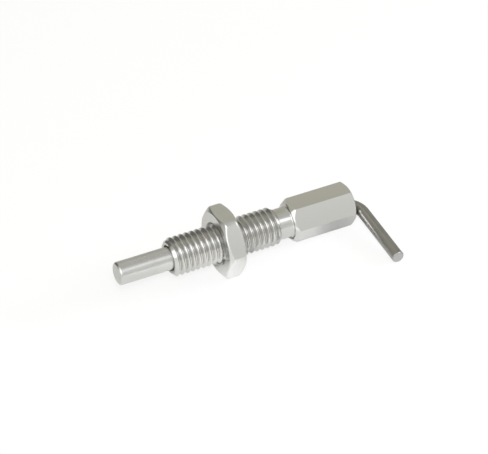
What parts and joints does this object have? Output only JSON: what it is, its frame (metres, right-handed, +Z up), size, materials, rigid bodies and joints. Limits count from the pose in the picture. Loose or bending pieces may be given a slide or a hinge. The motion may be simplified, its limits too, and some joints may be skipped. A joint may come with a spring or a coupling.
{
  "type": "index plunger",
  "caption": "Hand-pulled locating pin: a spring holds a round pin out of a threaded body with a hexagonal rear end, a bent rod pulls it back, and a thin lock nut runs on the thread.",
  "frame": {"origin": "on the pin's axis, at the threaded body's front face, where the pin's shoulder begins", "axes": "+X runs along the pin's axis from the nose back to the handle, +Z is up, and the handle's leg points to -Y and a little down"},
  "size_m": [0.0686, 0.0337, 0.017],
  "materials": {
    "body_steel": "drawn hexagon bar, turned and threaded",
    "nut_steel": "turned faces, smooth flats",
    "pin_steel": "ground",
    "handle_steel": "drawn rod, darker",
    "spring_steel": "drawn spring wire"
  },
  "bodies": {
    "housing": {"threaded_body": "body_steel"},
    "nut": {"lock_nut": "nut_steel"},
    "spring": {"return_spring": "spring_steel"},
    "plunger": {"locking_pin": "pin_steel", "l_handle": "handle_steel"}
  },
  "joints": [
    {"name": "nut_travel", "type": "slide", "parent": "housing", "child": "nut", "axis": [1, 0, 0], "range_m": [-0.012, 0.0105]},
    {"name": "plunger_pull", "type": "slide", "parent": "housing", "child": "spring", "axis": [1, 0, 0], "range_m": [0, 0.0143], "stiffness_N_per_m": 1350, "springref_m": -0.0045, "deforming": ["return_spring"]},
    {"name": "handle_turn", "type": "hinge", "parent": "spring", "child": "plunger", "pos_m": [0, 0, 0], "axis": [1, 0, 0], "continuous": true}
  ]
}
